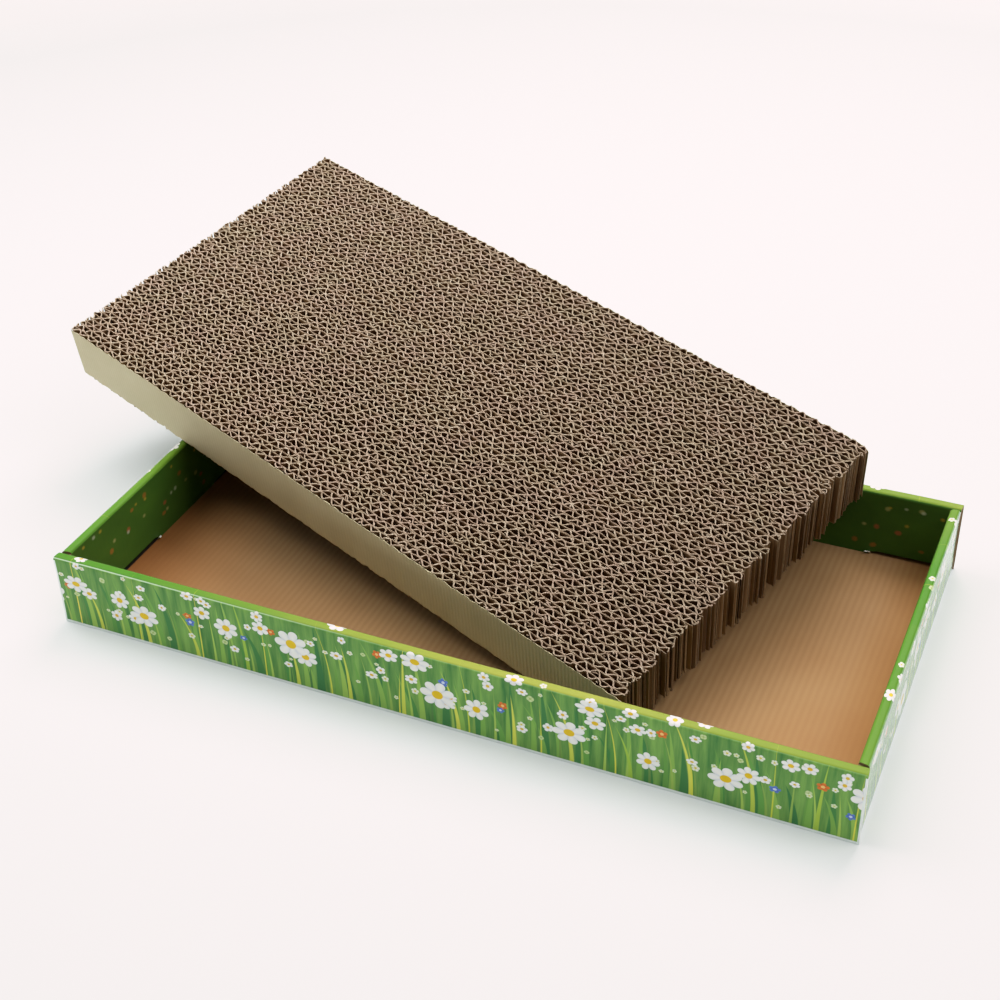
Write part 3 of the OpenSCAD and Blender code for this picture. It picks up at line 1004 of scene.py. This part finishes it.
def make_wall(side):
    """A side's outer wall, rim and inner wall with its lock tabs, each in place of its node."""
    long_side = side in LONG_SIDES
    width = LEDGE if long_side else END_LEDGE
    seed = SIDES[side][3]
    outer_half = HALF_L if long_side else left_high[1]
    shape, sheet, trim = carry(side, wall_profile(), along(outer_half), seed, WALL_BOW)
    # The cavity face takes the darker cut-edge board instead of the bare kraft it is: painted shade where a
    # wall's cavity shows at a corner
    wall = make_piece(side + "_wall_print", "tray", "printed_wall", shape,
                      [PRINT, EDGE, UNDERSIDE if side == "front" else EDGE], uv=sheet, trim=trim)
    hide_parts(side + "_outer_wall")

    rim_half = HALF_L if long_side else left_rim_high[1]
    shape, sheet, trim = carry(side, rim_profile(width), along(rim_half), seed + 2, 0, sag=RIM_SAG,
                               slant=0.5 if long_side else 1.1)
    rim = make_piece(side + "_rim_print", "tray", "printed_ledge", shape, [PRINT, EDGE, EDGE], uv=sheet,
                     trim=np.full(len(trim), UNTRIMMED))
    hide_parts(side + "_rim")

    inner_half = front_inner_high[0] if long_side else left_inner_high[1]
    foot = BOARD + FOOT_GAP
    places = [share * 2 * HALF_L for share in LONG_TAB_SHARES] if long_side else [0]
    length = LONG_TAB if long_side else END_TAB
    torn = {"back": places[0] - length / 2, "left": length / 2, "right": -length / 2}.get(side)
    parts = [carry(side, inner_profile(width, foot), along(inner_half), seed + 4, 0, torn=torn)]
    for place in places:
        tab = np.linspace(place - length / 2, place + length / 2, 9)
        low = [values[-2:].copy() for values in inner_profile(width, TAB_FOOT)]
        for outline in low[:2]:
            outline[0, 1] = foot
        parts.append(carry(side, low, tab, seed + 4, 0))
    shapes = [part for part, _, _ in parts]
    sheets = [sheet for _, sheet, _ in parts]
    if torn:
        shapes.append(nick(side, torn))
        sheets.append(np.zeros((len(shapes[-1][0]), 2)))
    points = sum(len(part[0]) for part in shapes)
    inner = make_piece(side + "_inner_print", "tray", "printed_inner", joined(shapes),
                       [PRINT, KRAFT, EDGE, UNDERSIDE], uv=np.concatenate(sheets),
                       trim=np.full(points, UNTRIMMED))
    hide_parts(side + "_inner_wall")


def slot_across(way, half):
    """Where a slot starts and ends across its wall, whose outside lies at way times half."""
    return sorted((way * (half - LEDGE - SLOT_PLAY), way * (half - LEDGE + BOARD + SLOT_PLAY)))


def floor_slots():
    """The floor's slots, one for each lock tab, each as lowest and highest x and lowest and highest y."""
    slots = []
    for way in (-1, 1):
        half = LONG_TAB / 2 + SLOT_PLAY
        for share in LONG_TAB_SHARES:
            middle = share * 2 * HALF_L
            slots.append((middle - half, middle + half, *slot_across(way, HALF_W)))
        half = END_TAB / 2 + SLOT_PLAY
        slots.append((*slot_across(way, HALF_L), -half, half))
    return slots


def make_floor():
    """The floor: a grid of cells without those in the slots. Its top ripples over the flutes as a cosine, and
    each cell with no neighbour on a side gets a wall there."""
    slots = floor_slots()
    half_x, half_y = floor_high[:2]
    xs = [np.arange(-half_x, half_x, MICRO_PITCH / WASHBOARD_STEPS), [half_x]] + [slot[:2] for slot in slots]
    ys = [np.linspace(-half_y, half_y, 9)] + [slot[2:] for slot in slots]
    xs, ys = (np.unique(np.round(np.concatenate(places), 3)) for places in (xs, ys))
    mid_x, mid_y = (xs[1:] + xs[:-1]) / 2, (ys[1:] + ys[:-1]) / 2
    kept = np.ones((len(mid_x), len(mid_y)), bool)
    for x0, x1, y0, y1 in slots:
        kept &= ~((mid_x[:, None] > x0) & (mid_x[:, None] < x1) & (mid_y > y0) & (mid_y < y1))
    x, y = np.meshgrid(xs, ys, indexing="ij")
    top = BOARD - WASHBOARD * (1 + np.cos(2 * math.pi * x / MICRO_PITCH)) / 2
    points = np.concatenate([np.stack([x, y, top], -1).reshape(-1, 3),
                             np.stack([x, y, np.zeros_like(x)], -1).reshape(-1, 3)])
    index = np.arange(x.size).reshape(x.shape)
    cells = np.stack([index[:-1, :-1], index[1:, :-1], index[1:, 1:], index[:-1, 1:]], -1)
    padded = np.pad(kept, 1)
    walls = []
    for a, b, beside in (
        (0, 1, padded[1:-1, :-2]),
        (1, 2, padded[2:, 1:-1]),
        (2, 3, padded[1:-1, 2:]),
        (3, 0, padded[:-2, 1:-1]),
    ):
        open_side = kept & ~beside
        start, stop = cells[..., a][open_side], cells[..., b][open_side]
        walls.append(np.stack([stop, start, start + x.size, stop + x.size], -1))
    face = cells[kept]
    walls = np.concatenate(walls)
    quads = np.concatenate([face, face[:, ::-1] + x.size, walls])
    sides = np.repeat([0, 1, 2], [len(face), len(face), len(walls)])
    piece = make_piece("floor_board", "tray", "bare_kraft", (points, quads, sides), [KRAFT, UNDERSIDE, EDGE],
                       uv=points[:, :2])
    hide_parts("floor_panel")


for side_name in ("front", "back", "left", "right"):
    make_wall(side_name)
make_floor()

# The hidden corner flaps stay the CAD's own nodes, as bare board
for end in ("front_left", "front_right", "back_left", "back_right"):
    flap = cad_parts[end + "_corner_flap"]
    flap.data.materials.clear()
    flap.data.materials.append(EDGE)


# Floor, light and camera

# Soft lights: the way to each from the middle of the scene, its distance, width, power and tint
SOFT_LIGHTS = {
    "window_left": ((-0.58, 0, 0.81), 1300, 780, 10.5, (0.93, 1, 1.04)),
    "window_back": ((0, 0.58, 0.81), 1600, 960, 21.5, (1, 1, 1)),
    "window_right": ((0.58, 0, 0.81), 1600, 960, 11.5, (0.98, 1, 1.04)),
    "ceiling": ((0, 0, 1), 1800, 1000, 4.5, (1, 1, 1)),
}
SKY_BASE = 0.08
SKY_LEFT = 1.1

# The studio floor's half width, how far from the middle its glow starts, over what length it grows, and how
# strong it ends
STAGE_HALF = 9000
GLOW_FROM = 950
GLOW_SOFT = 600
GLOW_MOST = 1.1

# The picture is overexposed, as the photograph is: each channel rises by its slope up to a shoulder, and
# from there to its share of the photograph's pale pink white
SLOPES = (1.0, 0.95, 0.92)
WHITE = (0.962, 0.885, 0.872)
SHOULDER = 0.75
CLIP = 1.3


def make_stage():
    """A pale seamless floor. Far from the object, where the lights hardly reach, it glows to stay pale."""
    half = STAGE_HALF * MM
    mesh = bpy.data.meshes.new("studio_floor")
    mesh.from_pydata([(-half, -half, 0), (half, -half, 0), (half, half, 0), (-half, half, 0)], [],
                     [(0, 1, 2, 3)])
    material, tree = new_material("seamless_paper_backdrop")
    place = add(tree, "ShaderNodeTexCoord").outputs["Object"]
    away = add(tree, "ShaderNodeVectorMath", {0: place}, operation="LENGTH")
    far = share_above(tree, away, GLOW_FROM * MM, GLOW_SOFT * MM)
    glow = add(tree, "ShaderNodeMath", {0: far, 1: GLOW_MOST}, operation="MULTIPLY")
    mesh.materials.append(with_shader(material, {
        "Base Color": (0.80, 0.86, 0.87, 1), "Roughness": 0.9, "Specular IOR Level": 0.1,
        "Emission Color": (1, 0.98, 0.97, 1), "Emission Strength": glow
    }))
    placed("studio_floor", mesh)


def make_lights():
    """Large soft lights above, and a dim surround that is brighter on the left."""
    for name, (way, distance, width, power, tint) in SOFT_LIGHTS.items():
        light = bpy.data.lights.new(name, "AREA")
        light.shape = "SQUARE"
        light.size = width * MM
        light.energy = power
        light.color = tint
        lamp = placed(name, light)
        lamp.location = Vector(way) * distance * MM
        lamp.rotation_mode = "QUATERNION"
        lamp.rotation_quaternion = Vector(way).to_track_quat("Z", "Y")
    world = bpy.data.worlds.new("pale_surround")
    world.use_nodes = True
    tree = world.node_tree
    tree.nodes.clear()
    way = add(tree, "ShaderNodeSeparateXYZ", {0: add(tree, "ShaderNodeTexCoord").outputs["Generated"]})
    left = add(tree, "ShaderNodeMath", {0: way, 1: -1.0}, operation="MULTIPLY", use_clamp=True)
    left = add(tree, "ShaderNodeMath", {0: left, 1: 4.0}, operation="POWER")
    glow = add(tree, "ShaderNodeMath", {0: left, 1: SKY_LEFT, 2: SKY_BASE}, operation="MULTIPLY_ADD")
    sky = add(tree, "ShaderNodeBackground", {"Color": "#FFFFFF", "Strength": glow})
    add(tree, "ShaderNodeOutputWorld", {"Surface": sky})
    bpy.context.scene.world = world


def make_camera():
    """The camera of the photograph's perspective."""
    camera = bpy.data.cameras.new("camera")
    camera.lens = CAMERA_LENS
    camera.sensor_width = CAMERA_SENSOR
    camera.clip_start = CAMERA_NEAR * MM
    camera.clip_end = CAMERA_FAR * MM
    eye = placed("camera", camera)
    eye.location = Vector(CAMERA_PLACE) * MM
    turn, tilt, roll = (
        Matrix.Rotation(math.radians(angle), 4, axis)
        for angle, axis in ((CAMERA_AZIMUTH, "Z"), (90 - CAMERA_ELEVATION, "X"), (CAMERA_ROLL, "Z"))
    )
    eye.rotation_mode = "QUATERNION"
    eye.rotation_quaternion = (turn @ tilt @ roll).to_quaternion()
    bpy.context.scene.camera = eye


def tone_picture():
    """Plain colours up to a soft shoulder, above which each channel ends at its share of white."""
    settings = bpy.context.scene.view_settings
    settings.view_transform = "Standard"
    settings.use_curve_mapping = True
    curves = settings.curve_mapping
    curves.clip_max_x = CLIP
    curves.use_clip = True
    for curve, slope, share in zip(curves.curves, SLOPES, WHITE):
        curve.points[0].location = (0, 0)
        curve.points[1].location = (CLIP, share)
        curve.points.new(SHOULDER, SHOULDER * slope)
    curves.update()


make_stage()
make_lights()
make_camera()
tone_picture()
